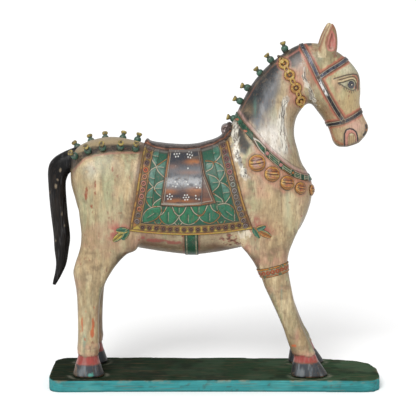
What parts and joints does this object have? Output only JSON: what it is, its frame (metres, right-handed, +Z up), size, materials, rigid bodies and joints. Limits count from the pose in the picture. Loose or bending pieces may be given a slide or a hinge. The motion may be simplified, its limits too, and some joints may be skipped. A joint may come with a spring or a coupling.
{
  "type": "carved horse sculpture",
  "caption": "Standing carved and painted wooden horse on a plank base, with saddle, saddle cloth, bell collar, bridle and turned knobs along mane and croup.",
  "frame": {"origin": "middle of the plank's underside, where the object stands", "axes": "+X towards the horse's head, +Z up, so -Y is the horse's right side"},
  "size_m": [0.826, 0.228, 0.899],
  "materials": {
    "plinth": "dark green paint on top, turquoise green on the edges, on hewn wood",
    "horse": "aged cream paint with coloured harness carving, on carved wood",
    "tail": "black paint on carved wood",
    "mane_knob_1": "green paint with a yellow cap, on turned wood",
    "mane_knob_2": "green paint with a yellow cap, on turned wood",
    "mane_knob_3": "green paint with a yellow cap, on turned wood",
    "mane_knob_4": "green paint with a yellow cap, on turned wood",
    "mane_knob_5": "green paint with a yellow cap, on turned wood",
    "mane_knob_6": "green paint with a yellow cap, on turned wood",
    "croup_knob_near_1": "green paint with a yellow cap, on turned wood",
    "croup_knob_near_2": "green paint with a yellow cap, on turned wood",
    "croup_knob_near_3": "green paint with a yellow cap, on turned wood",
    "croup_knob_near_4": "green paint with a yellow cap, on turned wood",
    "croup_knob_near_5": "green paint with a yellow cap, on turned wood",
    "croup_knob_far_1": "green paint with a yellow cap, on turned wood",
    "croup_knob_far_2": "green paint with a yellow cap, on turned wood",
    "croup_knob_far_3": "green paint with a yellow cap, on turned wood",
    "croup_knob_far_4": "green paint with a yellow cap, on turned wood",
    "croup_knob_far_5": "green paint with a yellow cap, on turned wood"
  },
  "bodies": {
    "root": {"plinth": "plinth", "horse": "horse", "tail": "tail", "mane_knob_1": "mane_knob_1", "mane_knob_2": "mane_knob_2", "mane_knob_3": "mane_knob_3", "mane_knob_4": "mane_knob_4", "mane_knob_5": "mane_knob_5", "mane_knob_6": "mane_knob_6", "croup_knob_near_1": "croup_knob_near_1", "croup_knob_near_2": "croup_knob_near_2", "croup_knob_near_3": "croup_knob_near_3", "croup_knob_near_4": "croup_knob_near_4", "croup_knob_near_5": "croup_knob_near_5", "croup_knob_far_1": "croup_knob_far_1", "croup_knob_far_2": "croup_knob_far_2", "croup_knob_far_3": "croup_knob_far_3", "croup_knob_far_4": "croup_knob_far_4", "croup_knob_far_5": "croup_knob_far_5"}
  },
  "joints": []
}
